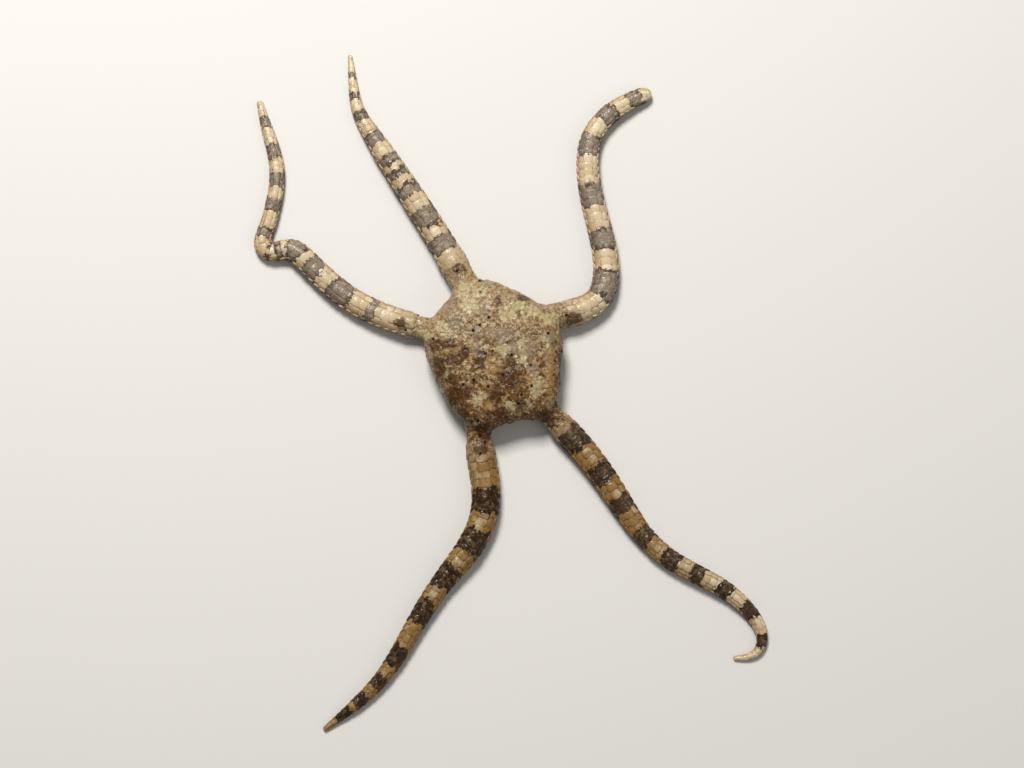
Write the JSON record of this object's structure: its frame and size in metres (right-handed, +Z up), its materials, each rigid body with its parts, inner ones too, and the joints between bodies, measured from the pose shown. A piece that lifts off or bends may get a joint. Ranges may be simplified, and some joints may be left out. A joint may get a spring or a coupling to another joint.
{
  "type": "brittle star",
  "caption": "Life-size brittle star resting with bent arms spread: a low five-sided disc covered in plates and slender jointed arms with short spines along both sides.",
  "frame": {"origin": "on the ground under the centre of the whole animal's box", "axes": "+Z up from the ground through the disc, +Y along the long way of the spread arms, +X to the right as seen from above"},
  "size_m": [0.031, 0.0416, 0.0027],
  "materials": {
    "disc_plates": "wet limy plates under thin skin, olive tan with dark brown and grey patches",
    "arm_plates": "wet limy plates under thin skin, pale cream with dark grey-brown bands",
    "jaw_ossicle": "wet cream limy ossicle"
  },
  "bodies": {
    "root": {"disc": "disc_plates", "jaw_1": "jaw_ossicle", "jaw_2": "jaw_ossicle", "jaw_3": "jaw_ossicle", "jaw_4": "jaw_ossicle", "jaw_5": "jaw_ossicle", "arm_a_1": "arm_plates", "arm_a_2": "arm_plates", "arm_a_3": "arm_plates", "arm_a_4": "arm_plates", "arm_b_1": "arm_plates", "arm_b_2": "arm_plates", "arm_b_3": "arm_plates", "arm_b_4": "arm_plates", "arm_b_5": "arm_plates", "arm_c_1": "arm_plates", "arm_c_2": "arm_plates", "arm_c_3": "arm_plates", "arm_c_4": "arm_plates", "arm_d_1": "arm_plates", "arm_d_2": "arm_plates", "arm_d_3": "arm_plates", "arm_d_4": "arm_plates", "arm_e_1": "arm_plates", "arm_e_2": "arm_plates", "arm_e_3": "arm_plates", "arm_e_4": "arm_plates", "arm_e_5": "arm_plates"}
  },
  "joints": []
}
